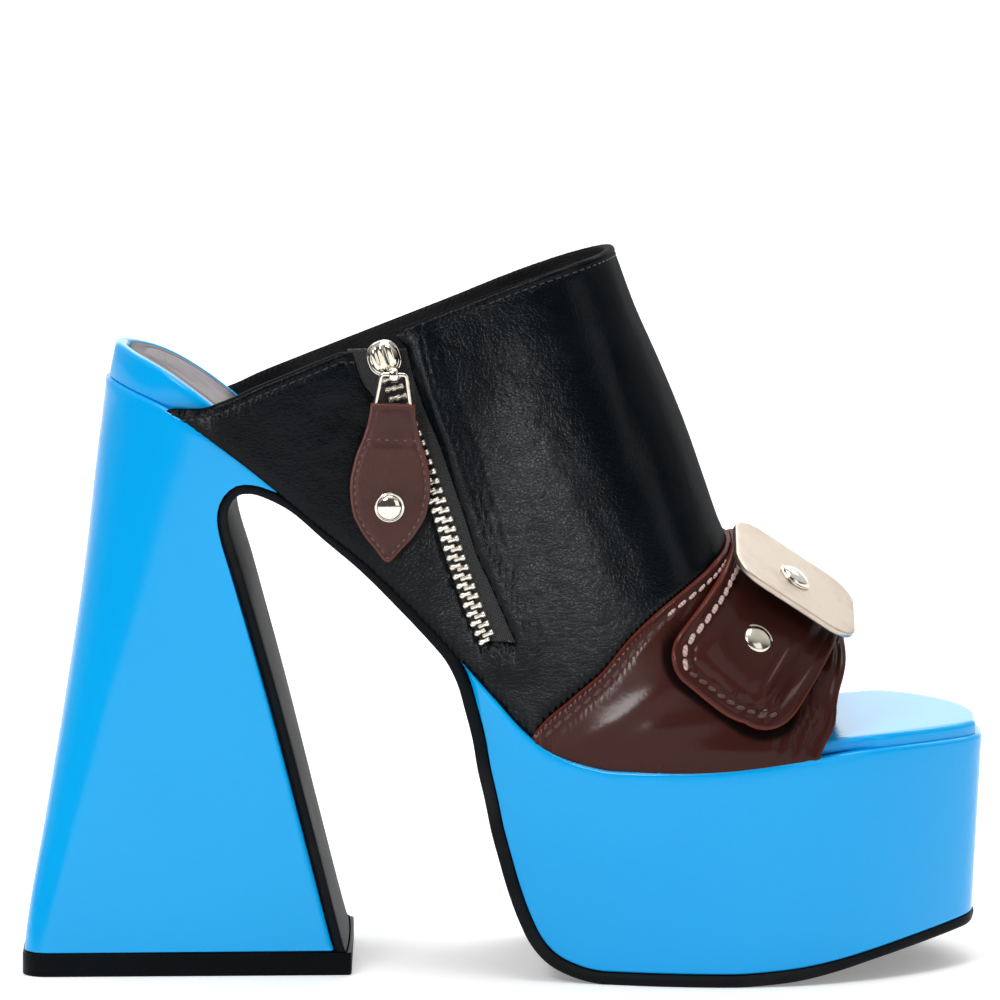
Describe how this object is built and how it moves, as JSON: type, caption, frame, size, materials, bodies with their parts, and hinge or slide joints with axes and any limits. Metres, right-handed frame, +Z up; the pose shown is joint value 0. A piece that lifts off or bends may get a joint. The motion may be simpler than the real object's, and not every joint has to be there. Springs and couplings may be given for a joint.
{
  "type": "platform mule sandal",
  "caption": "High platform mule sandal for the right foot, with a flared block heel, open toe and heel, a side zip and a buckled strap over the toes.",
  "frame": {"origin": "centre of the bounding box on the ground plane, under the sole", "axes": "+X towards the toe, +Y towards the inner (medial) side, +Z up"},
  "size_m": [0.2396, 0.0974, 0.1802],
  "materials": {
    "outsole_rubber": "satin dark brown-black sheet",
    "lift_rubber": "matt black",
    "blue_patent": "bright blue patent, high gloss",
    "sock_leather": "smooth, soft sheen",
    "black_leather": "fine grain, semi-gloss",
    "brown_patent": "dark brown patent, glossy",
    "brown_leather": "smooth brown, satin",
    "pale_gold": "pale gold, satin",
    "nickel": "polished nickel",
    "zip_tape": "black woven tape"
  },
  "bodies": {
    "shoe": {"outsole": "outsole_rubber", "platform": "blue_patent", "heel_block": "blue_patent", "top_lift": "lift_rubber", "insole_board": "blue_patent", "heel_sock": "sock_leather", "vamp": "black_leather", "toe_strap": "brown_patent", "buckle_strap": "brown_patent", "buckle_plate": "pale_gold", "plate_stud": "nickel", "belt_stud": "nickel", "zip_tape": "zip_tape", "zip_chain": "nickel", "zip_slider": "nickel"},
    "zip_pull": {"pull_bail": "nickel", "pull_tab": "brown_leather", "pull_stud": "nickel"}
  },
  "joints": [
    {"name": "pull_swing", "type": "hinge", "parent": "shoe", "child": "zip_pull", "pos_m": [-0.02697, -0.03131, 0.1514], "axis": [-1, 0, 0], "range_deg": [0, 150]}
  ]
}
